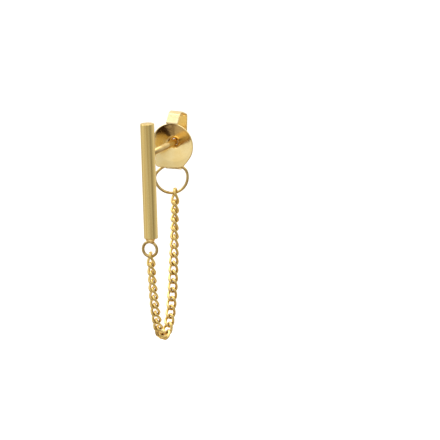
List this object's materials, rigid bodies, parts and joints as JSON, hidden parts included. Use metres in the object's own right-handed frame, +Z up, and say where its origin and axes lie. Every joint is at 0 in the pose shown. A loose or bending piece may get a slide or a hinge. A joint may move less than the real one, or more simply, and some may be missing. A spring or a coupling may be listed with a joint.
{
  "type": "chain earring",
  "caption": "Ear jewel with a round bar on an ear post, a butterfly clutch behind the lobe and a fine curb chain that hangs from the bar's lower end round to the clutch.",
  "frame": {"origin": "on the ear post's axis, midway between the bar's back and the clutch plate's rim, where the earlobe is", "axes": "+Z up along the bar, +Y back along the ear post from the bar to the clutch, +X to the right seen from the front"},
  "size_m": [0.0058, 0.0126, 0.0292],
  "materials": {
    "bar_gold": "polished gold plate, faintly drawn along the bar",
    "clutch_gold": "bright polished gold plate",
    "ring_gold": "polished gold plate",
    "chain_gold": "polished gold plate"
  },
  "bodies": {
    "root": {"bar_post": "bar_gold", "clutch": "clutch_gold", "clutch_ring": "ring_gold", "link_1": "chain_gold", "link_2": "chain_gold", "link_3": "chain_gold", "link_4": "chain_gold", "link_5": "chain_gold", "link_6": "chain_gold", "link_7": "chain_gold", "link_8": "chain_gold", "link_9": "chain_gold", "link_10": "chain_gold", "link_11": "chain_gold", "link_12": "chain_gold", "link_13": "chain_gold", "link_14": "chain_gold", "link_15": "chain_gold", "link_16": "chain_gold", "link_17": "chain_gold", "link_18": "chain_gold", "link_19": "chain_gold", "link_20": "chain_gold", "link_21": "chain_gold", "link_22": "chain_gold", "link_23": "chain_gold", "link_24": "chain_gold", "link_25": "chain_gold", "link_26": "chain_gold", "link_27": "chain_gold", "link_28": "chain_gold"}
  },
  "joints": []
}
